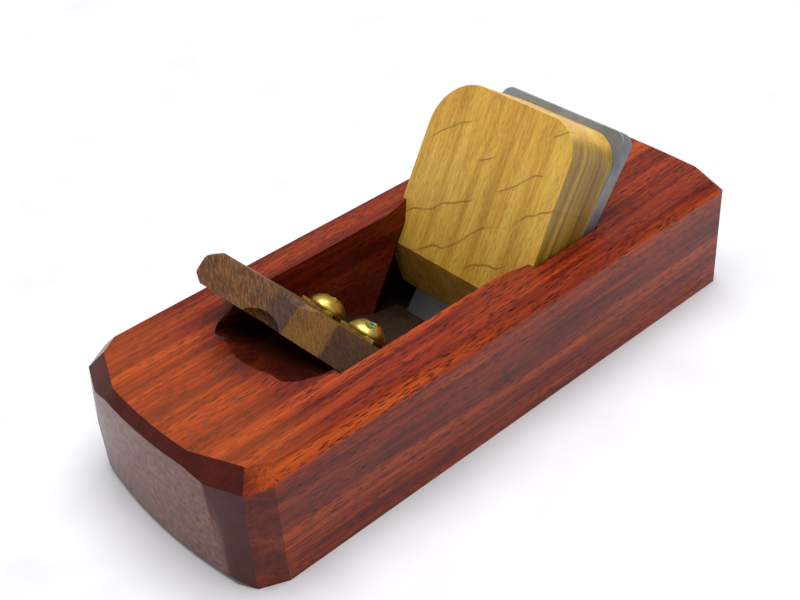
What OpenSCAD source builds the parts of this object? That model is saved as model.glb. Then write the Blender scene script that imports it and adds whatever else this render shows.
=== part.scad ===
// Wooden smoothing plane with a wedged iron and an adjustable mouth block.
// Frame: +X towards the toe (the way the plane is pushed), +Y to the user's left, +Z up.
// The origin is the middle of the sole. Every slope is an angle from the sole.

/* [Body] */
// Length of the body, toe to heel
body_l = 176; // [165:1:215]
// Width of the body
body_w = 70; // [68:1:84]
// Height of the body, sole to top
body_h = 34; // [33:0.5:42]
// Chamfer on the two long top arrises
side_chamfer = 3; // [1:0.5:5]
// Radius to which the toe bows out in plan
toe_radius = 150; // [120:5:400]
// Radius to which the heel bows out in plan
heel_radius = 360; // [120:5:600]
// Bevel round the top of the toe and the heel
end_bevel = 2.5; // [1:0.5:5]
// Small bevel round the foot of the toe and the heel
foot_bevel = 1.6; // [0.4:0.2:3]
// Length that each corner cut at the toe takes off the side
corner_l = 12; // [8:1:16]
// Width that each corner cut at the toe takes off the end
corner_w = 16; // [12:1:20]
// Slope from upright of the toe's corner facets, which take off more at the top
corner_slope = 5; // [0:0.5:8]
// Length that each corner cut at the heel takes off the side
heel_corner_l = 5; // [3:0.5:16]
// Width that each corner cut at the heel takes off the end
heel_corner_w = 7; // [4:0.5:20]
// Bevel on top of the corner cuts
corner_bevel = 4.5; // [2:0.5:7]

/* [Throat] */
// Sideways place of the throat's middle (it is cut nearer the far cheek)
throat_y = -1.2; // [-3:0.2:3]
// Width of the throat between the cheeks
throat_w = 42.4; // [36:0.2:46]
// Place of the iron's cutting edge along the sole
edge_x = -11.4; // [-20:0.2:-6]
// Slope of the bed
bed_angle = 53; // [50:0.5:56]
// Slope of the abutments, which is also the slope of the wedge's face
abutment_angle = 60; // [59:0.5:63]
// Space at the sole from the cutting edge to the foot of the abutments
abutment_gap = 13.1; // [11:0.1:15]
// Gap of the mouth in front of the cutting edge, with the block flush
mouth_gap = 1; // [0.6:0.1:3]
// Thickness of the two side lips that flank the mouth block at the sole
side_lip = 2.4; // [2:0.2:5]

/* [Finger hollow] */
// Distance from the origin to the hollow's front edge
hollow_front = 56; // [54:0.5:62]
// Width of the hollow across the body
hollow_w = 35; // [26:1:38]
// Radius of the hollow's floor
hollow_r = 60; // [40:1:80]
// Depth of the hollow's lowest line under the top
hollow_deep = 8; // [5:0.5:10]
// Radius of the hollow's corners in plan
hollow_corner = 9; // [3:0.5:10]

/* [Iron] */
// Width of the iron
iron_w = 44.4; // [36:0.2:50]
// Sideways place of the iron's middle, measured from the throat's middle
iron_y = 2.6; // [-2.8:0.1:2.8]
// Thickness of the iron
iron_t = 4.5; // [3:0.1:5.5]
// Length of the iron along its slope
iron_l = 68; // [64:0.2:90]
// Radius of the iron's top corners
iron_corner = 3.6; // [3:0.5:10]
// Angle of the ground bevel behind the edge
iron_bevel = 28; // [25:1:35]
// Clearance between the iron and its bed
bed_clear = 0.03; // [0.01:0.01:0.1]

/* [Wedge] */
// Width of the wedge
wedge_w = 50.2; // [46:0.2:54]
// Clearance between the wedge and the iron's face
seat_clear = 0.06; // [0.04:0.02:0.2]
// Side clearance of the wedge in the slot
slot_clear = 0.3; // [0.2:0.1:0.8]
// Height of the wedge's lower front arris above the sole
wedge_foot_z = 23.3; // [18:0.1:27]
// Height of the wedge's thin lower edge, where it meets the iron
wedge_edge_z = 6.2; // [5:0.1:10]
// Height of the top of the wedge's face
wedge_top_z = 66.2; // [56:0.5:70]
// Amount that each side of the wedge narrows towards the top
wedge_narrow = 0.5; // [0:0.1:2]
// Radius of the wedge's top corner at the far side
wedge_corner_far = 15; // [6:0.5:18]
// Radius of the wedge's top corner at the near side
wedge_corner_near = 9.5; // [6:0.5:18]

/* [Mouth block] */
// Slope of the front ramp and of the block
ramp_angle = 50.4; // [48:0.1:54]
// Place at the sole of the block's screw face, measured forward from the cutting edge
block_face_gap = 15.4; // [14:0.1:18]
// Thickness of the block
block_t = 9.4; // [8:0.2:12]
// Side clearance of the block between the cheeks
block_clear = 0.15; // [0.1:0.05:0.4]
// Clearance between the block and the ramp
ramp_clear = 0.05; // [0.05:0.05:0.3]
// Height of the block's top at its low side
tab_low_z = 34; // [30:0.5:38]
// Height of the finger tab at its high side
tab_high_z = 52.6; // [40:0.1:58]
// Thickness of the block's front lip
lip_t = 2.8; // [2:0.1:4]
// Height at which the lip runs into the screw face
lip_root_z = 10; // [7:0.5:14]
// Travel of the block up the ramp
block_travel = 2; // [1:0.1:3]

/* [Screws and plates] */
// Height above the sole of the screws' middle on the screw face
screw_z = 26.5; // [22:0.5:28]
// Distance between the two screws
screw_pitch = 15.6; // [14:0.2:20]
// Diameter of the screw's shank
screw_d = 5; // [4:0.5:6]
// Diameter of the domed head
head_d = 10.4; // [8:0.2:12]
// Height of the domed head
head_h = 4; // [3:0.1:5]
// Height of the straight rim under the dome
rim_h = 0.7; // [0.4:0.1:1]
// Size across the flats of the hexagon socket
socket_af = 3.6; // [2.5:0.1:4]
// Depth of the hexagon socket
socket_deep = 2.2; // [1.5:0.1:2.6]
// Thickness of the slotted plates
plate_t = 1; // [0.6:0.1:1.6]
// Width of a plate across the body
plate_w = 12.4; // [11:0.2:14]
// Metal left round a plate's slot at its ends
plate_end = 1.3; // [1:0.1:3]
// Play of the shank in the slots
slot_play = 0.15; // [0.1:0.05:0.4]
// Outer diameter of the threaded inserts
insert_d = 8; // [7:0.5:10]
// Length of the inserts
insert_l = 10; // [8:0.5:13]
// Running clearance of the shank in an insert
thread_clear = 0.05; // [0.02:0.01:0.08]

/* [Hidden] */
$fn = 96;
past = 5;                       // how far a cut runs past the solid
big = 120;                      // size of a cutting block

slot_w = wedge_w + 2 * slot_clear;
slot_half = slot_w / 2;
throat_half = throat_w / 2;
bed_foot = edge_x - iron_t / sin(bed_angle);
bed_cut_foot = bed_foot - bed_clear / sin(bed_angle);
abutment_foot = edge_x + abutment_gap;
seat_foot = edge_x + seat_clear / sin(bed_angle);
block_foot = edge_x + block_face_gap;
ramp_foot = block_foot + (block_t + ramp_clear) / sin(ramp_angle);
screw_s = screw_z / sin(ramp_angle);
slot_l = block_travel + screw_d + 2 * slot_play;
plate_l = slot_l + 2 * plate_end;
shank_l = plate_t + block_t + ramp_clear + insert_l - 1;

// The x of a plane that leaves the sole at foot and slopes back (-1) or forward (1)
function lean_x(foot, angle, z, way) = foot + way * z / tan(angle);

// A cutting block beyond a plane: it faces azimuth az, stands at reach at height z, leans inward
module beyond(az, reach, z, lean) {
    rotate([0, 0, az]) translate([reach, 0, z]) rotate([0, -lean, 0])
        translate([0, -big, -big]) cube([2 * big, 2 * big, 2 * big]);
}

// A profile in the upright length plane, pulled across the body about the throat's middle
module across(width, y = throat_y) {
    translate([0, y + width / 2, 0]) rotate([90, 0, 0]) linear_extrude(width) children();
}

// A frame on the screw face: x up the ramp, y across the body, z out of the face
module on_face(s = 0, y = 0) {
    translate([block_foot, throat_y + y, 0]) rotate([0, -ramp_angle, 0]) translate([s, 0, 0])
        children();
}

module rounded_rect(x0, x1, w, r) {
    union() {
        translate([x0 + r, -w / 2]) square([x1 - x0 - 2 * r, w]);
        translate([x0, -w / 2 + r]) square([x1 - x0, w - 2 * r]);
        for (x = [x0 + r, x1 - r], y = [-1, 1]) translate([x, y * (w / 2 - r)]) circle(r);
    }
}

// ---- body ---------------------------------------------------------------------------------

// A corner's three points, from the end round to the side, with lengths measured from the end
function corner(l, w) = [[0, w], [0.42 * l, 0.27 * w], [l, 0]];

// The toe's corners are drawn 4 narrower here, for their facets are cut leaning further down
module body_plan() {
    toe = corner(corner_l, corner_w - 4);
    heel = corner(heel_corner_l, heel_corner_w);
    hl = body_l / 2;
    hw = body_w / 2;
    polygon(concat(
        [for (i = [0:2]) [hl - toe[i].x, hw - toe[i].y]],
        [for (i = [2:-1:0]) [heel[i].x - hl, hw - heel[i].y]],
        [for (i = [0:2]) [heel[i].x - hl, heel[i].y - hw]],
        [for (i = [2:-1:0]) [hl - toe[i].x, toe[i].y - hw]]));
}

module bowed_end(side, radius) {
    translate([side * (body_l / 2 - radius), 0, 0]) rotate_extrude($fn = 360)
        polygon([[0, 0], [radius - foot_bevel, 0], [radius, foot_bevel], [radius, body_h - end_bevel],
                 [radius - end_bevel, body_h], [0, body_h]]);
}

module long_section() {
    hw = body_w / 2;
    rotate([90, 0, 90]) linear_extrude(body_l + 2 * past, center = true)
        polygon([[-hw, 0], [hw, 0], [hw, body_h - side_chamfer], [hw - side_chamfer, body_h],
                 [-hw + side_chamfer, body_h], [-hw, body_h - side_chamfer]]);
}

module corner_bevels() {
    hl = body_l / 2;
    hw = body_w / 2;
    facet = atan2(0.42 * corner_l, 0.73 * corner_w);
    // the toe's leaning facets, then the bevels on top of all four corners
    for (sy = [0, 1]) mirror([0, sy, 0])
        beyond(facet, hl * cos(facet) + (hw - corner_w) * sin(facet) - 0.3, body_h - end_bevel, corner_slope);
    for (end = [0, 1], sy = [0, 1]) {
        cut = end == 0 ? corner(corner_l, corner_w) : corner(heel_corner_l, heel_corner_w);
        end_facet = atan2(cut[1].x, cut[0].y - cut[1].y);
        side_facet = atan2(cut[2].x - cut[1].x, cut[1].y);
        mirror([end, 0, 0]) mirror([0, sy, 0]) {
            beyond(end_facet, hl * cos(end_facet) + (hw - cut[0].y) * sin(end_facet),
                   body_h - corner_bevel, 45);
            beyond(side_facet, (hl - cut[2].x) * cos(side_facet) + hw * sin(side_facet),
                   body_h - side_chamfer - 0.8, 45);
        }
    }
}

module bed_slot() {
    top = body_h + past;
    lip_x = edge_x + mouth_gap;
    across(slot_w) polygon([
        [lean_x(bed_cut_foot, bed_angle, -past, -1), -past], [lip_x, -past], [lip_x, side_lip],
        [lean_x(abutment_foot, abutment_angle, side_lip, -1), side_lip],
        [lean_x(abutment_foot, abutment_angle, top, -1), top],
        [lean_x(bed_cut_foot, bed_angle, top, -1), top]]);
}

module throat() {
    top = body_h + past;
    across(throat_w) polygon([
        [edge_x, -past], [lean_x(ramp_foot, ramp_angle, -past, 1), -past],
        [lean_x(ramp_foot, ramp_angle, top, 1), top],
        [lean_x(abutment_foot, abutment_angle, top, -1), top], [edge_x, side_lip]]);
}

module finger_hollow() {
    rise = hollow_r - hollow_deep;
    chord = sqrt(hollow_r * hollow_r - rise * rise);
    ramp_top = lean_x(ramp_foot, ramp_angle, body_h, 1);
    intersection() {
        across(hollow_w + 2) translate([hollow_front - chord, body_h + rise]) circle(hollow_r, $fn = 180);
        translate([0, throat_y, body_h - hollow_deep - 1]) linear_extrude(hollow_deep + past)
            rounded_rect(ramp_top - 16, hollow_front + 1, hollow_w, hollow_corner);
    }
}

// The sloped relief on top of each abutment, where the cheek opens out to the slot
module abutment_relief() {
    deep = 5;
    a = [lean_x(abutment_foot, abutment_angle, body_h, -1) + 9, throat_half, body_h];
    b = [lean_x(abutment_foot, abutment_angle, body_h, -1) - 8, slot_half, body_h];
    c = [lean_x(abutment_foot, abutment_angle, body_h - deep, -1), throat_half, body_h - deep];
    n = cross(b - a, c - a);
    up = n.z > 0 ? n : -n;
    for (s = [0, 1]) translate([0, throat_y, 0]) mirror([0, s, 0]) intersection() {
        translate([0, 0, body_h - deep - 1]) linear_extrude(deep + past)
            polygon([[a.x, a.y], [b.x, b.y], [b.x, throat_half - 6], [a.x, throat_half - 6]]);
        translate(a) rotate([0, acos(up.z / norm(up)), atan2(up.y, up.x)])
            translate([-big / 2, -big / 2, 0]) cube([big, big, big]);
    }
}

module insert_bores() {
    for (y = [-1, 1]) on_face(screw_s, y * screw_pitch / 2)
        translate([0, 0, -block_t - ramp_clear - insert_l - 0.5]) cylinder(d = insert_d, h = insert_l + 2);
}

module body() {
    color([0.55, 0.17, 0.09]) difference() {
        intersection() {
            linear_extrude(body_h) body_plan();
            long_section();
            bowed_end(1, toe_radius);
            bowed_end(-1, heel_radius);
        }
        corner_bevels();
        bed_slot();
        throat();
        finger_hollow();
        abutment_relief();
        insert_bores();
    }
}

// ---- iron and wedge -------------------------------------------------------------------------

module iron() {
    edge = -iron_t / tan(bed_angle);      // the cutting edge's place along the slope
    color([0.66, 0.67, 0.68]) translate([bed_foot, throat_y + iron_y, 0]) rotate([0, bed_angle - 180, 0])
        mirror([0, 0, 1]) intersection() {
            linear_extrude(iron_t) difference() {
                translate([edge - 1, -iron_w / 2]) square([iron_l - edge + 1, iron_w]);
                for (y = [-1, 1]) translate([iron_l - iron_corner, y * (iron_w / 2 - iron_corner)])
                    difference() {
                        translate([0, y > 0 ? 0 : -iron_corner - 1])
                            square([iron_corner + 1, iron_corner + 1]);
                        circle(iron_corner);
                    }
            }
            rotate([90, 0, 0]) linear_extrude(iron_w + 2, center = true)
                polygon([[edge, iron_t], [iron_l + 1, iron_t], [iron_l + 1, -1],
                         [edge + (iron_t + 1) / tan(iron_bevel), -1]]);
        }
}

// The wedge's outline, seen square on, with its two rounded corners at the top, where x is 0
module wedge_outline(length) {
    half = wedge_w / 2;
    top = half - wedge_narrow;
    difference() {
        polygon([[-2 * length, -half], [-length, -half], [-wedge_corner_far, -top], [0, -top], [0, top],
                 [-wedge_corner_near, top], [-length, half], [-2 * length, half]]);
        for (c = [[1, wedge_corner_near], [-1, wedge_corner_far]])
            translate([-c[1], c[0] * (top - c[1])]) difference() {
                translate([0, c[0] > 0 ? 0 : -c[1] - 1]) square(c[1] + 1);
                circle(c[1]);
            }
    }
}

// The side view of the wedge: its face, its square top, the iron's face and its steep lower end
module wedge() {
    foot_x = lean_x(abutment_foot, abutment_angle, wedge_foot_z, -1);
    top_x = lean_x(abutment_foot, abutment_angle, wedge_top_z, -1);
    middle = (bed_angle + abutment_angle) / 2;
    // length of the square top, from the face down to the iron's face
    drop = (top_x - lean_x(seat_foot, bed_angle, wedge_top_z, -1))
        / (sin(middle) + cos(middle) / tan(bed_angle));
    back_x = top_x - drop * sin(middle);
    back_z = wedge_top_z - drop * cos(middle);
    length = (wedge_top_z - wedge_foot_z) / sin(middle);
    color([0.78, 0.58, 0.24]) intersection() {
        across(wedge_w) polygon([[foot_x, wedge_foot_z], [top_x, wedge_top_z], [back_x, back_z],
            [lean_x(seat_foot, bed_angle, wedge_edge_z, -1), wedge_edge_z]]);
        translate([top_x, throat_y, wedge_top_z]) rotate([0, middle - 180, 0])
            linear_extrude(big, center = true) wedge_outline(length);
    }
}

// ---- mouth block ------------------------------------------------------------------------------

module slot_hole(play, depth) {
    w = screw_d + 2 * play;
    union() {
        translate([0, 0, -depth]) cylinder(d = w, h = 2 * depth);
        translate([-block_travel, 0, -depth]) cylinder(d = w, h = 2 * depth);
        translate([-block_travel, -w / 2, -depth]) cube([block_travel, w, 2 * depth]);
    }
}

module mouth_block() {
    width = throat_w - 2 * block_clear;
    tip = edge_x + mouth_gap;
    s_low = tab_low_z / sin(ramp_angle);
    s_high = tab_high_z / sin(ramp_angle);
    skew = atan2(s_high - s_low, width);
    color([0.36, 0.22, 0.11]) difference() {
        across(width) polygon([
            [tip, 0], [tip + 0.8, lip_t], [tip + 9, lip_t + 1.4],
            [lean_x(block_foot, ramp_angle, lip_root_z, 1), lip_root_z],
            [lean_x(block_foot, ramp_angle, tab_high_z, 1), tab_high_z],
            [lean_x(block_foot, ramp_angle, tab_high_z, 1) + block_t * sin(ramp_angle),
             tab_high_z - block_t * cos(ramp_angle)],
            [block_foot + block_t / sin(ramp_angle), 0]]);
        on_face(s_low, width / 2) rotate([0, 0, skew]) translate([0, -big, -big / 2])
            cube([big, 2 * big, big]);
        on_face(screw_s, -screw_pitch / 2) slot_hole(slot_play + 0.1, block_t + 1);
        on_face(screw_s, screw_pitch / 2) slot_hole(slot_play + 0.1, block_t + 1);
    }
}

module plate(side) {
    color([0.78, 0.6, 0.25]) on_face(screw_s, side * screw_pitch / 2) difference() {
        translate([-block_travel - screw_d / 2 - slot_play - plate_end, -plate_w / 2, 0])
            cube([plate_l, plate_w, plate_t]);
        slot_hole(slot_play, plate_t + 1);
    }
}

// ---- fasteners ----------------------------------------------------------------------------------

// Domed head: a cap of a sphere on a short straight rim, with a hexagon socket
module screw(side) {
    dome_h = head_h - rim_h;
    cap_r = (head_d * head_d / 4 + dome_h * dome_h) / (2 * dome_h);
    color([0.8, 0.62, 0.24]) on_face(screw_s, side * screw_pitch / 2) translate([0, 0, plate_t])
        difference() {
            union() {
                translate([0, 0, -shank_l]) cylinder(d = screw_d, h = shank_l + 0.5);
                cylinder(d = head_d, h = rim_h);
                intersection() {
                    translate([0, 0, rim_h + dome_h - cap_r]) sphere(cap_r);
                    translate([0, 0, rim_h]) cylinder(d = head_d, h = head_h);
                }
            }
            translate([0, 0, head_h - socket_deep]) cylinder(d = socket_af / cos(30), h = head_h, $fn = 6);
        }
}

module insert(side) {
    color([0.7, 0.52, 0.2]) on_face(screw_s, side * screw_pitch / 2)
        translate([0, 0, -block_t - ramp_clear - insert_l]) difference() {
            cylinder(d = insert_d, h = insert_l);
            translate([0, 0, -1]) cylinder(d = screw_d + 2 * thread_clear, h = insert_l + 2);
        }
}

body();
iron();
wedge();
mouth_block();
plate(-1);  // plate_far
plate(1);  // plate_near
screw(-1);  // screw_far
screw(1);  // screw_near
insert(-1);  // insert_far
insert(1);  // insert_near
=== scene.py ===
import math

import bmesh
import bpy
from mathutils import Euler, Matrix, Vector


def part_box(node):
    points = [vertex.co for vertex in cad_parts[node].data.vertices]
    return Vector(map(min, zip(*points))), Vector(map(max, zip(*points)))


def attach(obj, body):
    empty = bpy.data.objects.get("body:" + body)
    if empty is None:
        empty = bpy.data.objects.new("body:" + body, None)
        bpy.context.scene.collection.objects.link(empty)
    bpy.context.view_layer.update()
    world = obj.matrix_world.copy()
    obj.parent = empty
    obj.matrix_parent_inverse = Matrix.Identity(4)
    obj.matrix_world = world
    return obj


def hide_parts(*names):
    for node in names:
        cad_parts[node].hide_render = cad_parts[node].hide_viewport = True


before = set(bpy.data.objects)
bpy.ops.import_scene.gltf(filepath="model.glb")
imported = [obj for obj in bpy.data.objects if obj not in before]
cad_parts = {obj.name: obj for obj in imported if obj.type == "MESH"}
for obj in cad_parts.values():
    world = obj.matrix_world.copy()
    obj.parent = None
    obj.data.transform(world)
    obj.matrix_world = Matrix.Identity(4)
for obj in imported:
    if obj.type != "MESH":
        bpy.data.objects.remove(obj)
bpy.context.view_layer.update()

mm = 0.001

# ---- body --------------------------------------------------------------------------------------
# The body is one piece of streaky red hardwood, planed, bevelled round the ends and varnished.
# The slot for the iron and the wedge, the throat and the finger hollow are cut into it.
# Its arrises are eased by hand, and its two ends show matt end grain under thinner varnish, paled by a
# painted grey reflection.

body_arris = 0.55 * mm
varnish_roughness = 0.1
throat_y = -1.2 * mm
scoop_middle = (40 * mm, throat_y, 59.5 * mm)
scoop_size = (34 * mm, 40 * mm, 30 * mm)
body_dark = (70, 18, 9)
body_red = (126, 38, 14)
body_orange = (186, 84, 24)
body_pale = (140, 56, 24)
far_cheek_tone = (74, 18, 10)
toe_tone = (206, 104, 34)
hollow_shade = (34, 9, 6)
rim_shade = (28, 7, 5)
slot_shade = (20, 8, 6)
shade_middle = (38 * mm, -3 * mm, 0)
shade_reach = (26 * mm, 24 * mm)


def screen(colour, alpha=1.0):
    """A colour of 0 to 255 screen values as the linear values a shader takes."""
    parts = [c / 255 for c in colour]
    return tuple(c / 12.92 if c < 0.04045 else ((c + 0.055) / 1.055) ** 2.4 for c in parts) + (alpha,)


def put(tree, kind, wires=None, **settings):
    """A new node. wires go to its inputs: a socket is linked, anything else is set."""
    node = tree.nodes.new("ShaderNode" + kind)
    for key, value in settings.items():
        setattr(node, key, value)
    for key, value in (wires or {}).items():
        if isinstance(value, bpy.types.NodeSocket):
            tree.links.new(value, node.inputs[key])
        else:
            node.inputs[key].default_value = value
    return node


def maths(tree, operation, a, b=0.0, clamp=False):
    return put(tree, "Math", {0: a, 1: b}, operation=operation, use_clamp=clamp).outputs[0]


def times(tree, a, b):
    return maths(tree, "MULTIPLY", a, b)


def tint(tree, factor, a, b, mode="MIX"):
    """Colour a turned towards colour b by factor."""
    node = put(tree, "Mix", {0: factor, 6: a, 7: b}, data_type="RGBA", blend_type=mode)
    return node.outputs[2]


def rise(tree, value, low, high, bottom=0.0, top=1.0):
    """A smooth step: bottom where value is at low, top where it is at high."""
    wires = {"Value": value, "From Min": low, "From Max": high, "To Min": bottom, "To Max": top}
    return put(tree, "MapRange", wires, interpolation_type="SMOOTHSTEP").outputs[0]


def shades(tree, factor, stops):
    """A colour ramp through (place, colour) stops."""
    node = put(tree, "ValToRGB", {"Fac": factor})
    ramp = node.color_ramp
    while len(ramp.elements) < len(stops):
        ramp.elements.new(0.5)
    for element, (place, colour) in zip(ramp.elements, stops):
        element.position = place
        element.color = screen(colour)
    return node.outputs[0]


def stretched(tree, vector, scale):
    return put(tree, "VectorMath", {0: vector, 1: scale}, operation="MULTIPLY").outputs[0]


def noise(tree, vector, detail=2.0, roughness=0.5, distortion=0.0, scale=1.0):
    wires = {"Vector": vector, "Scale": scale, "Detail": detail, "Roughness": roughness,
             "Distortion": distortion}
    return put(tree, "TexNoise", wires, noise_dimensions="3D").outputs[0]


def new_group(name, inputs, outputs):
    """An empty shader node group with its named sockets."""
    tree = bpy.data.node_groups.new(name, "ShaderNodeTree")
    for label, kind, value in inputs:
        socket = tree.interface.new_socket(label, in_out="INPUT", socket_type="NodeSocket" + kind)
        if value is not None:
            socket.default_value = value
    for label, kind in outputs:
        tree.interface.new_socket(label, in_out="OUTPUT", socket_type="NodeSocket" + kind)
    return tree, tree.nodes.new("NodeGroupInput"), tree.nodes.new("NodeGroupOutput")


def make_timber_grain():
    """Grain that runs along x: a broad figure, fine fibres and short open pores."""
    tree, given, made = new_group(
        "timber_grain",
        [("Place", "Vector", None), ("Figure Width", "Float", 1.0), ("Waviness", "Float", 0.002),
         ("Pore Size", "Float", 1.0)],
        [("Figure", "Float"), ("Fibre", "Float"), ("Pores", "Float"), ("Cloud", "Float")])
    place = given.outputs["Place"]
    bend = put(tree, "TexNoise", {"Vector": stretched(tree, place, (14, 30, 30)), "Scale": 1.0,
                                  "Detail": 1.0}).outputs[1]
    bend = put(tree, "VectorMath", {0: bend, 1: (0.5, 0.5, 0.5)}, operation="SUBTRACT").outputs[0]
    bend = put(tree, "VectorMath", {0: bend, "Scale": given.outputs["Waviness"]},
               operation="SCALE").outputs[0]
    wavy = put(tree, "VectorMath", {0: place, 1: bend}, operation="ADD").outputs[0]
    across = put(tree, "VectorMath", {0: wavy, "Scale": given.outputs["Figure Width"]},
                 operation="SCALE").outputs[0]
    broad = noise(tree, stretched(tree, across, (3, 110, 110)), 5.0, 0.62, 0.2)
    thin = noise(tree, stretched(tree, across, (9, 560, 560)), 4.0, 0.65)
    figure = maths(tree, "ADD", times(tree, broad, 0.68), times(tree, thin, 0.32))
    fibre = noise(tree, stretched(tree, wavy, (50, 3600, 3600)), 3.0, 0.7)
    cells = put(tree, "VectorMath", {0: wavy, "Scale": given.outputs["Pore Size"]},
                operation="SCALE").outputs[0]
    dots = put(tree, "TexVoronoi", {"Vector": stretched(tree, cells, (260, 2700, 2700)), "Scale": 1.0,
                                    "Randomness": 1.0}, feature="F1").outputs["Distance"]
    pores = rise(tree, dots, 0.4, 0.26)
    there = rise(tree, noise(tree, stretched(tree, place, (70, 260, 260)), 2.0), 0.3, 0.48)
    pores = times(tree, pores, there)
    cloud = noise(tree, stretched(tree, place, (16, 40, 40)), 2.0)
    for label, value in (("Figure", figure), ("Fibre", fibre), ("Pores", pores), ("Cloud", cloud)):
        tree.links.new(value, made.inputs[label])
    return tree


timber_grain = make_timber_grain()


def new_material(name):
    """A material with its Principled shader, its node tree and its object coordinates."""
    material = bpy.data.materials.new(name)
    material.use_nodes = True
    tree = material.node_tree
    shader = tree.nodes["Principled BSDF"]
    where = put(tree, "TexCoord")
    return material, tree, shader, where


def grain_of(tree, where, middle=(0, 0, 0), turn=(0, 0, 0), width=1.0, waviness=0.002, pores=1.0):
    """The timber grain, with its x turned to run along the piece."""
    place = put(tree, "Mapping", {"Vector": where.outputs["Object"], "Location": middle, "Rotation": turn},
                vector_type="TEXTURE").outputs[0]
    node = put(tree, "Group", None, node_tree=timber_grain)
    tree.links.new(place, node.inputs["Place"])
    node.inputs["Figure Width"].default_value = width
    node.inputs["Waviness"].default_value = waviness
    node.inputs["Pore Size"].default_value = pores
    return node, place


def bumped(tree, shader, height, strength, distance):
    bump = put(tree, "Bump", {"Height": height, "Strength": strength, "Distance": distance})
    tree.links.new(bump.outputs[0], shader.inputs["Normal"])


def make_red_hardwood():
    material, tree, shader, where = new_material("red_hardwood")
    grain, place = grain_of(tree, where, middle=(0.3, 0.02, 0.0), turn=(0, 0, math.radians(1.5)), width=1.5)
    colour = shades(tree, grain.outputs["Figure"], [
        (0.3, body_dark), (0.43, (96, 27, 12)), (0.5, body_red), (0.58, (158, 60, 18)), (0.68, body_orange)])
    pale = rise(tree, grain.outputs["Cloud"], 0.48, 0.66, 0.0, 0.55)
    colour = tint(tree, pale, colour, screen(body_pale))
    fibre = rise(tree, grain.outputs["Fibre"], 0.35, 0.65, 0.8, 1.15)
    grey = put(tree, "CombineColor", {0: fibre, 1: fibre, 2: fibre}).outputs[0]
    colour = tint(tree, 1.0, colour, grey, "MULTIPLY")
    colour = tint(tree, times(tree, grain.outputs["Pores"], 0.9), colour, screen((26, 6, 5)))

    facing = put(tree, "SeparateXYZ", {0: where.outputs["Normal"]}).outputs[0]
    ends = rise(tree, maths(tree, "ABSOLUTE", facing), 0.955, 0.985)
    # Painted shade: the slanted facets round the ends are darkened by the way they face.
    slanted = rise(tree, maths(tree, "ABSOLUTE", facing), 0.25, 0.6)
    colour = tint(tree, times(tree, slanted, 0.9), colour, screen((58, 12, 9)))
    # The end faces show end grain, paled towards grey by a painted reflection of the pale table.
    mottle = noise(tree, stretched(tree, place, (300, 520, 520)), 4.0, 0.7)
    end_grain_and_glare = shades(tree, mottle, [(0.35, (104, 66, 60)), (0.55, (134, 92, 84)), (0.7, (154, 112, 104))])
    end_pores = times(tree, grain.outputs["Pores"], 0.4)
    end_grain_and_glare = tint(tree, end_pores, end_grain_and_glare, screen((48, 24, 20)))
    colour = tint(tree, times(tree, ends, 0.9), colour, end_grain_and_glare)

    # Painted tone: a darker far cheek and a warmer toe, which partly stand in for uneven light.
    at = put(tree, "SeparateXYZ", {0: where.outputs["Object"]})
    at_x, at_y, at_z = at.outputs[0], at.outputs[1], at.outputs[2]
    far = rise(tree, at_y, -20 * mm, -25 * mm, 0.0, 0.38)
    colour = tint(tree, far, colour, screen(far_cheek_tone))
    warm = times(tree, rise(tree, at_x, 52 * mm, 72 * mm), rise(tree, at_z, 30 * mm, 33.6 * mm))
    warm = times(tree, warm, maths(tree, "SUBTRACT", 1.0, slanted))
    colour = tint(tree, times(tree, warm, 0.16), colour, screen(toe_tone))

    # Painted shade on the hollow's floor and on the top round it. It stands in for the soft shadow
    # under the mouth block, not for a stain, so under other light it stays dark.
    in_hollow = times(tree, rise(tree, at_x, 58 * mm, 52 * mm), rise(tree, at_x, 33 * mm, 35 * mm))
    in_hollow = times(tree, in_hollow, rise(tree, maths(tree, "ABSOLUTE", at_y), 24 * mm, 21 * mm))
    in_hollow = times(tree, in_hollow, rise(tree, at_z, 34.2 * mm, 29.5 * mm))
    colour = tint(tree, times(tree, in_hollow, 0.7), colour, screen(hollow_shade))
    from_hollow = put(tree, "VectorMath", {0: where.outputs["Object"], 1: shade_middle},
                      operation="SUBTRACT").outputs[0]
    from_hollow = stretched(tree, from_hollow, (1 / shade_reach[0], 1 / shade_reach[1], 0))
    from_hollow = put(tree, "VectorMath", {0: from_hollow}, operation="LENGTH").outputs[1]
    round_it = times(tree, rise(tree, from_hollow, 1.12, 0.55), rise(tree, at_z, 26 * mm, 30 * mm))
    colour = tint(tree, times(tree, round_it, 0.8), colour, screen(rim_shade))

    # Painted shade on the inside of the slot, behind the abutments.
    behind = rise(tree, maths(tree, "ADD", at_x, times(tree, at_z, 0.577)), 2.6 * mm, 1.4 * mm)
    off_middle = maths(tree, "ABSOLUTE", maths(tree, "SUBTRACT", at_y, throat_y))
    within = times(tree, rise(tree, off_middle, 25.8 * mm, 25.5 * mm),
                   rise(tree, at_z, 33.0 * mm, 26.0 * mm))
    within = times(tree, times(tree, behind, within), rise(tree, at_z, 0.2 * mm, 0.6 * mm))
    within = times(tree, within, rise(tree, at_x, -50 * mm, -46 * mm))
    colour = tint(tree, times(tree, within, 0.88), colour, screen(slot_shade))

    tree.links.new(colour, shader.inputs["Base Color"])
    tree.links.new(rise(tree, ends, 0.0, 1.0, 0.42, 0.5), shader.inputs["Roughness"])
    bare = maths(tree, "MAXIMUM", within, in_hollow)
    tree.links.new(rise(tree, bare, 0.0, 1.0, 0.45, 0.0), shader.inputs["Coat Weight"])
    shader.inputs["Coat Roughness"].default_value = varnish_roughness
    shader.inputs["Coat IOR"].default_value = 1.5
    shader.inputs["IOR"].default_value = 1.45
    shader.inputs["Specular IOR Level"].default_value = 0.05
    height = maths(tree, "SUBTRACT", times(tree, grain.outputs["Fibre"], 0.25), grain.outputs["Pores"])
    bumped(tree, shader, height, 0.3, 0.0002)
    return material


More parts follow.
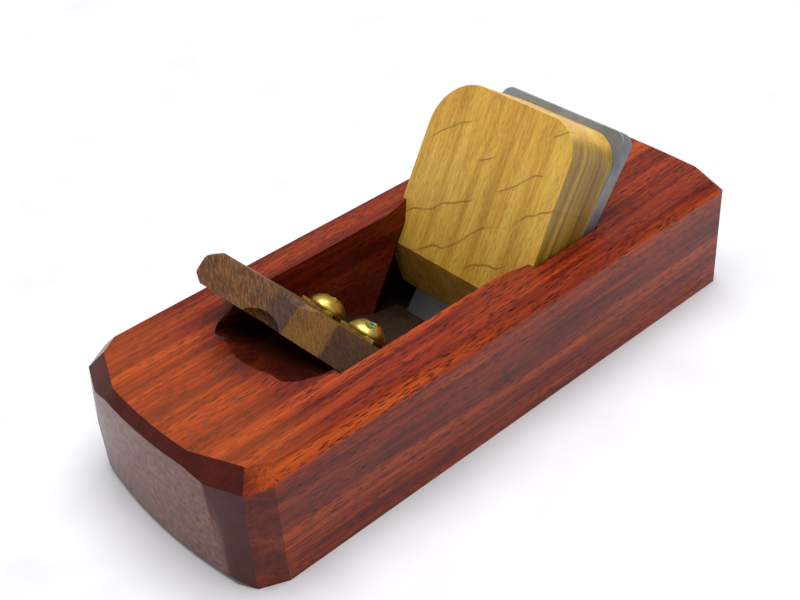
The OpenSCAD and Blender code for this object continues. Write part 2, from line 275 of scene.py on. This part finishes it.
def solid_copy(node):
    """A copy of a CAD mesh with its doubles merged and its flat faces made whole."""
    shape = bmesh.new()
    shape.from_mesh(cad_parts[node].data)
    bmesh.ops.remove_doubles(shape, verts=shape.verts, dist=1e-6)
    bmesh.ops.dissolve_limit(shape, angle_limit=math.radians(0.2), verts=shape.verts, edges=shape.edges)
    return shape


def sharp_edges(shape, degrees, where=lambda middle: True):
    limit = math.radians(degrees)
    found = []
    for edge in shape.edges:
        middle = (edge.verts[0].co + edge.verts[1].co) / 2
        if len(edge.link_faces) == 2 and edge.calc_face_angle(0.0) > limit and where(middle):
            found.append(edge)
    return found


def carved(shape, cutter):
    """The shape with the cutter taken away; both bmeshes are used up."""
    made = []
    for source, name in ((shape, "to_carve"), (cutter, "cutter")):
        mesh = bpy.data.meshes.new(name)
        source.to_mesh(mesh)
        source.free()
        made.append(bpy.data.objects.new(name, mesh))
        bpy.context.scene.collection.objects.link(made[-1])
    cut = made[0].modifiers.new("cut", "BOOLEAN")
    cut.operation = "DIFFERENCE"
    cut.solver = "EXACT"
    cut.object = made[1]
    result = bmesh.new()
    result.from_object(made[0], bpy.context.evaluated_depsgraph_get())
    for piece in made:
        bpy.data.objects.remove(piece)
    return result


def ball(middle, radius):
    shape = bmesh.new()
    bmesh.ops.create_uvsphere(shape, u_segments=64, v_segments=48, radius=radius)
    bmesh.ops.translate(shape, verts=shape.verts, vec=middle)
    return shape


def ease(shape, edges, width, segments=3):
    bmesh.ops.bevel(shape, geom=edges, offset=width, offset_type="OFFSET", segments=segments, profile=0.5,
                    affect="EDGES", clamp_overlap=True, material=-1)


def finished(shape, name, material, body, node=None):
    """The shape as a smooth-shaded object that rides on its body, in place of its CAD node."""
    mesh = bpy.data.meshes.new(name)
    for face in shape.faces:
        face.smooth = True
    for edge in sharp_edges(shape, 46):
        edge.smooth = False
    shape.to_mesh(mesh)
    shape.free()
    piece = bpy.data.objects.new(name, mesh)
    bpy.context.scene.collection.objects.link(piece)
    mesh.materials.append(material)
    firm = piece.modifiers.new("flat_faces", "WEIGHTED_NORMAL")
    firm.keep_sharp = True
    firm.weight = 100
    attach(piece, body)
    if node:
        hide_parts(node)
    return piece


red_hardwood = make_red_hardwood()
shape = solid_copy("body")


def at_hollow(middle):
    inside = 42 * mm < middle.x < 58 * mm and abs(middle.y - throat_y) < 18.5 * mm
    return inside and middle.z > 33.8 * mm


ease(shape, sharp_edges(shape, 24, lambda middle: not at_hollow(middle)), body_arris)
scoop = ball((0, 0, 0), 1.0)
bmesh.ops.scale(scoop, verts=scoop.verts, vec=scoop_size)
bmesh.ops.translate(scoop, verts=scoop.verts, vec=scoop_middle)
shape = carved(shape, scoop)
finished(shape, "stock_body", red_hardwood, "stock", "body")

# ---- threaded inserts -----------------------------------------------------------------------------
# Two brass inserts are screwed into the front ramp, under the mouth block.
# They take the two screws. They are hidden, so their shape is inferred.

brass_yellow = (184, 150, 74)
brass_brown = (122, 92, 40)


def make_brass(name, yellow, brown, roughness, verdigris_at=None):
    material, tree, shader, where = new_material(name)
    patches = noise(tree, stretched(tree, where.outputs["Object"], (380, 380, 380)), 4.0, 0.65)
    bright = tuple(min(255, c + 26) for c in yellow)
    colour = shades(tree, patches, [(0.36, brown), (0.5, yellow), (0.7, bright)])
    polish = rise(tree, patches, 0.35, 0.65, roughness + 0.14, roughness)
    metal = None
    if verdigris_at:
        gone = put(tree, "VectorMath", {0: where.outputs["Object"], 1: verdigris_at},
                   operation="DISTANCE").outputs[1]
        crust = noise(tree, stretched(tree, where.outputs["Object"], (1500, 1500, 1500)), 3.0)
        near = times(tree, rise(tree, gone, 1.7 * mm, 1.3 * mm), rise(tree, crust, 0.36, 0.5))
        colour = tint(tree, near, colour, screen((30, 84, 56)))
        polish = maths(tree, "ADD", polish, times(tree, near, 0.4), clamp=True)
        metal = maths(tree, "SUBTRACT", 1.0, near)
    tree.links.new(colour, shader.inputs["Base Color"])
    tree.links.new(polish, shader.inputs["Roughness"])
    if metal:
        tree.links.new(metal, shader.inputs["Metallic"])
    else:
        shader.inputs["Metallic"].default_value = 1.0
    scratch = noise(tree, stretched(tree, where.outputs["Object"], (900, 2600, 900)), 3.0, 0.7)
    bumped(tree, shader, scratch, 0.03, 0.0001)
    return material


plate_brass = make_brass("plate_brass", brass_yellow, brass_brown, 0.3)
for node in ("insert_far", "insert_near"):
    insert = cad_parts[node]
    insert.data.materials.clear()
    insert.data.materials.append(plate_brass)

# ---- iron ---------------------------------------------------------------------------------------
# The iron is a thick blade of ground steel with rounded top corners and a bevelled edge.
# It lies bevel down on the bed, and the wedge holds it there.

iron_arris = 0.35 * mm


def make_iron_steel():
    material, tree, shader, where = new_material("iron_steel")
    place = put(tree, "Mapping", {"Vector": where.outputs["Object"], "Rotation": (0, math.radians(-127), 0)},
                vector_type="TEXTURE").outputs[0]
    clouds = noise(tree, stretched(tree, place, (60, 60, 60)), 4.0, 0.6)
    lines = noise(tree, stretched(tree, place, (150, 4200, 4200)), 3.0, 0.7)
    colour = shades(tree, clouds, [(0.3, (126, 130, 132)), (0.5, (152, 156, 158)), (0.72, (168, 172, 174))])
    dull = noise(tree, stretched(tree, place, (700, 700, 700)), 3.0, 0.6)
    spots = rise(tree, dull, 0.66, 0.74)
    colour = tint(tree, times(tree, spots, 0.4), colour, screen((104, 92, 82)))
    # painted shade low in the throat
    height = put(tree, "SeparateXYZ", {0: where.outputs["Object"]}).outputs[2]
    low_down = rise(tree, height, 16 * mm, 8 * mm)
    colour = tint(tree, times(tree, low_down, 0.4), colour, screen((110, 110, 110)))
    tree.links.new(colour, shader.inputs["Base Color"])
    shader.inputs["Metallic"].default_value = 0.8
    tree.links.new(rise(tree, clouds, 0.3, 0.7, 0.6, 0.5), shader.inputs["Roughness"])
    bumped(tree, shader, maths(tree, "ADD", lines, times(tree, dull, 0.5)), 0.06, 0.0001)
    return material


shape = solid_copy("iron")
ease(shape, sharp_edges(shape, 20, lambda middle: middle.z > 6 * mm), iron_arris)
finished(shape, "plane_iron", make_iron_steel(), "blade", "iron")

# ---- wedge --------------------------------------------------------------------------------------
# The wedge is a tapered board of golden hardwood, its grain along its length.
# It is driven between the iron and the abutments; its top corners are round and softened by use.

wedge_arris = 0.9 * mm
gold_light = (236, 198, 100)
gold_mid = (220, 172, 68)
gold_dark = (190, 138, 48)


def make_golden_hardwood():
    material, tree, shader, where = new_material("golden_hardwood")
    grain, place = grain_of(tree, where, middle=(0.1, 0.03, 0.05), turn=(0, math.radians(-123.5), 0),
                            width=2.2, waviness=0.0012, pores=1.3)
    colour = shades(tree, grain.outputs["Figure"], [
        (0.34, gold_dark), (0.44, (206, 154, 56)), (0.52, gold_mid), (0.6, (228, 184, 80)),
        (0.72, gold_light)])
    along = put(tree, "SeparateXYZ", {0: place})
    sway = noise(tree, stretched(tree, place, (20, 70, 20)), 2.0, 0.5)
    waves = maths(tree, "ADD", times(tree, along.outputs[0], 85.0),
                  times(tree, along.outputs[1], -58.0))
    waves = maths(tree, "ADD", waves, times(tree, sway, 0.9))
    line = maths(tree, "ABSOLUTE", maths(tree, "SUBTRACT", maths(tree, "FRACT", waves), 0.5))
    line = rise(tree, line, 0.04, 0.008)
    kept = rise(tree, noise(tree, stretched(tree, place, (80, 50, 50)), 1.0), 0.5, 0.6)
    colour = tint(tree, times(tree, times(tree, line, kept), 0.65), colour, screen((122, 86, 34)))
    fibre = rise(tree, grain.outputs["Fibre"], 0.35, 0.65, 0.86, 1.1)
    grey = put(tree, "CombineColor", {0: fibre, 1: fibre, 2: fibre}).outputs[0]
    colour = tint(tree, 1.0, colour, grey, "MULTIPLY")
    colour = tint(tree, times(tree, grain.outputs["Pores"], 0.35), colour, screen((110, 70, 22)))
    # The sides are olive with stripes along the grain; their darker tone is partly painted shade.
    facing = put(tree, "SeparateXYZ", {0: where.outputs["Normal"]})
    sides = rise(tree, maths(tree, "ABSOLUTE", facing.outputs[1]), 0.6, 0.9)
    stripes = noise(tree, stretched(tree, place, (6, 60, 620)), 3.0, 0.6)
    olive = shades(tree, stripes, [(0.36, (96, 72, 16)), (0.5, (146, 114, 34)), (0.66, (180, 150, 52))])
    colour = tint(tree, times(tree, sides, 0.85), colour, olive)
    tree.links.new(colour, shader.inputs["Base Color"])
    shader.inputs["Roughness"].default_value = 0.42
    shader.inputs["IOR"].default_value = 1.45
    shader.inputs["Coat Weight"].default_value = 0.15
    shader.inputs["Coat Roughness"].default_value = 0.3
    height = maths(tree, "SUBTRACT", times(tree, grain.outputs["Fibre"], 0.5), grain.outputs["Pores"])
    bumped(tree, shader, height, 0.3, 0.0002)
    return material


shape = solid_copy("wedge")
ease(shape, sharp_edges(shape, 20, lambda middle: middle.z > 26 * mm), wedge_arris, 4)
finished(shape, "iron_wedge", make_golden_hardwood(), "key_wedge", "wedge")

# ---- mouth block ----------------------------------------------------------------------------------
# The mouth block is brown hardwood, cut so that its skewed top shows end grain and a pale streak.
# It slides on the front ramp to close the mouth, and its raised corner is rounded as a finger tab.

block_arris = 0.8 * mm
tab_end_upper = 3.6 * mm
tab_end_lower = 2.4 * mm
tab_scoops = (((53.7 * mm, -2.6 * mm, 38.9 * mm), 8 * mm), ((37.4 * mm, 4.5 * mm, 54.6 * mm), 14 * mm))


def make_brown_hardwood():
    material, tree, shader, where = new_material("brown_hardwood")
    grain, place = grain_of(tree, where, middle=(0.07, 0.01, 0.02), turn=(0, math.radians(-50.4), 0),
                            width=1.4, waviness=0.0015, pores=1.2)
    rays = put(tree, "Mapping", {"Vector": where.outputs["Object"],
                                 "Rotation": (math.radians(35), math.radians(-50.4), 0)},
               vector_type="TEXTURE").outputs[0]
    mottle = noise(tree, stretched(tree, rays, (340, 2400, 500)), 4.0, 0.7, 0.3)
    brown = shades(tree, mottle, [(0.34, (70, 40, 18)), (0.5, (104, 66, 34)), (0.66, (138, 98, 54))])
    at = put(tree, "SeparateXYZ", {0: where.outputs["Object"]})
    edge = noise(tree, stretched(tree, place, (40, 200, 200)), 2.0)
    edge = times(tree, maths(tree, "SUBTRACT", edge, 0.5), 0.003)
    side = maths(tree, "ADD", at.outputs[1], edge)
    dusk = shades(tree, mottle, [(0.36, (56, 34, 26)), (0.6, (90, 62, 46))])
    sap = shades(tree, mottle, [(0.36, (94, 58, 14)), (0.6, (126, 84, 26))])
    deep = shades(tree, mottle, [(0.36, (46, 24, 6)), (0.6, (80, 44, 12))])
    colour = tint(tree, rise(tree, side, -6.0 * mm, -3.4 * mm), brown, dusk)
    colour = tint(tree, rise(tree, side, 0.6 * mm, 1.1 * mm), colour, sap)
    colour = tint(tree, rise(tree, side, 9.2 * mm, 10.6 * mm), colour, deep)
    # painted shade low in the throat
    low_down = rise(tree, at.outputs[2], 17 * mm, 27 * mm, 0.85, 0.0)
    figure = rise(tree, grain.outputs["Figure"], 0.35, 0.65, 0.75, 1.2)
    grey = put(tree, "CombineColor", {0: figure, 1: figure, 2: figure}).outputs[0]
    colour = tint(tree, 1.0, colour, grey, "MULTIPLY")
    colour = tint(tree, times(tree, grain.outputs["Pores"], 0.5), colour, screen((40, 22, 10)))
    colour = tint(tree, low_down, colour, screen((18, 11, 8)))
    tree.links.new(colour, shader.inputs["Base Color"])
    shader.inputs["Roughness"].default_value = 0.5
    shader.inputs["Specular IOR Level"].default_value = 0.3
    shader.inputs["Coat Weight"].default_value = 0.08
    shader.inputs["Coat Roughness"].default_value = 0.3
    bumped(tree, shader, maths(tree, "SUBTRACT", mottle, grain.outputs["Pores"]), 0.3, 0.0002)
    return material


shape = solid_copy("mouth_block")
low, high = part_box("mouth_block")


def on_far_side(edge):
    return all(v.co.y < low.y + 0.1 * mm for v in edge.verts) and edge.calc_length() > 25 * mm


def towards_toe(edge):
    return (edge.verts[0].co.x + edge.verts[1].co.x) - (edge.verts[0].co.z + edge.verts[1].co.z)


far_side = [e for e in sharp_edges(shape, 20) if on_far_side(e)]
far_side = [e for e in far_side if all(v.co.z > 5 * mm or v.co.x > 10 * mm for v in e.verts)]
far_side.sort(key=towards_toe)
ease(shape, far_side[:1], tab_end_upper, 6)
far_side = [e for e in sharp_edges(shape, 40) if on_far_side(e)]
far_side.sort(key=towards_toe)
ease(shape, far_side[-1:], tab_end_lower, 5)
for middle, radius in tab_scoops:
    shape = carved(shape, ball(middle, radius))
ease(shape, sharp_edges(shape, 50, lambda middle: middle.z > 30 * mm), block_arris)
finished(shape, "mouth_block_wood", make_brown_hardwood(), "mouth", "mouth_block")

# ---- slotted plates --------------------------------------------------------------------------------
# A slotted brass plate lies on the mouth block under each screw, so that the head doesn't bite.
# Each is cut from thin sheet, and its arrises are only just broken.

for node in ("plate_far", "plate_near"):
    shape = solid_copy(node)
    ease(shape, sharp_edges(shape, 40), 0.12 * mm, 2)
    finished(shape, "slotted_" + node, plate_brass, "mouth", node)

# ---- screws ------------------------------------------------------------------------------------------
# Two brass screws with domed heads and hexagon sockets clamp the mouth block to the ramp.
# The heads are bright yellow brass, and the near one has a green spot by its socket.

dome_yellow = (196, 166, 82)
for node, body in (("screw_far", "far_screw"), ("screw_near", "near_screw")):
    low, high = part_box(node)
    socket_at = None
    if node == "screw_near":
        socket_at = (24.7 * mm, (low.y + high.y) / 2 + 1.8 * mm, 31.2 * mm)
    shape = solid_copy(node)
    ease(shape, sharp_edges(shape, 35), 0.15 * mm, 2)
    brass = make_brass(node + "_brass", dome_yellow, (150, 120, 54), 0.3, socket_at)
    finished(shape, "domed_" + node, brass, body, node)

# ---- floor, light and camera ---------------------------------------------------------------------------
# The plane stands on a plain pale table under soft studio light.

floor_shape = bmesh.new()
bmesh.ops.create_grid(floor_shape, x_segments=1, y_segments=1, size=3.0)
floor_mesh = bpy.data.meshes.new("floor")
floor_shape.to_mesh(floor_mesh)
floor_shape.free()
floor = bpy.data.objects.new("floor", floor_mesh)
bpy.context.scene.collection.objects.link(floor)
floor_paint, tree, shader, where = new_material("floor_paint")
paper = noise(tree, stretched(tree, where.outputs["Object"], (40, 40, 40)), 3.0)
at = put(tree, "SeparateXYZ", {0: where.outputs["Object"]})
# Painted shadow under the plane: dark, so that the pale table doesn't show through the mouth.
under = times(tree, rise(tree, maths(tree, "ABSOLUTE", at.outputs[0]), 62 * mm, 56 * mm),
              rise(tree, maths(tree, "ABSOLUTE", at.outputs[1]), 31 * mm, 28 * mm))
paint = shades(tree, paper, [(0.3, (214, 214, 218)), (0.7, (224, 224, 228))])
tree.links.new(tint(tree, under, paint, screen((16, 13, 12))), shader.inputs["Base Color"])
shader.inputs["Roughness"].default_value = 0.6
floor_mesh.materials.append(floor_paint)

world = bpy.data.worlds.new("studio")
bpy.context.scene.world = world
world.use_nodes = True
sky = world.node_tree.nodes["Background"]
sky.inputs["Color"].default_value = (1.0, 1.0, 1.0, 1.0)
sky.inputs["Strength"].default_value = 0.42


def soft_light(name, place, aim, size, power):
    data = bpy.data.lights.new(name, "AREA")
    data.shape = "RECTANGLE"
    data.size, data.size_y = size
    data.energy = power
    lamp = bpy.data.objects.new(name, data)
    bpy.context.scene.collection.objects.link(lamp)
    lamp.location = place
    lamp.rotation_euler = (Vector(aim) - Vector(place)).to_track_quat("-Z", "Y").to_euler()
    return lamp


soft_light("overhead", (-0.2, -0.1, 2.0), (0, 0, 0), (1.7, 1.7), 52.0)

camera_data = bpy.data.cameras.new("camera")
camera_data.lens = 57.7
camera_data.sensor_width = 36.0
camera_data.clip_start = 0.01
camera_data.clip_end = 20
camera = bpy.data.objects.new("camera", camera_data)
bpy.context.scene.collection.objects.link(camera)
camera.location = (0.1802, 0.2077, 0.2267)
camera.rotation_euler = Euler([math.radians(a) for a in (53.186, 3.595, 137.610)])
bpy.context.scene.camera = camera
bpy.context.scene.view_settings.view_transform = "Standard"
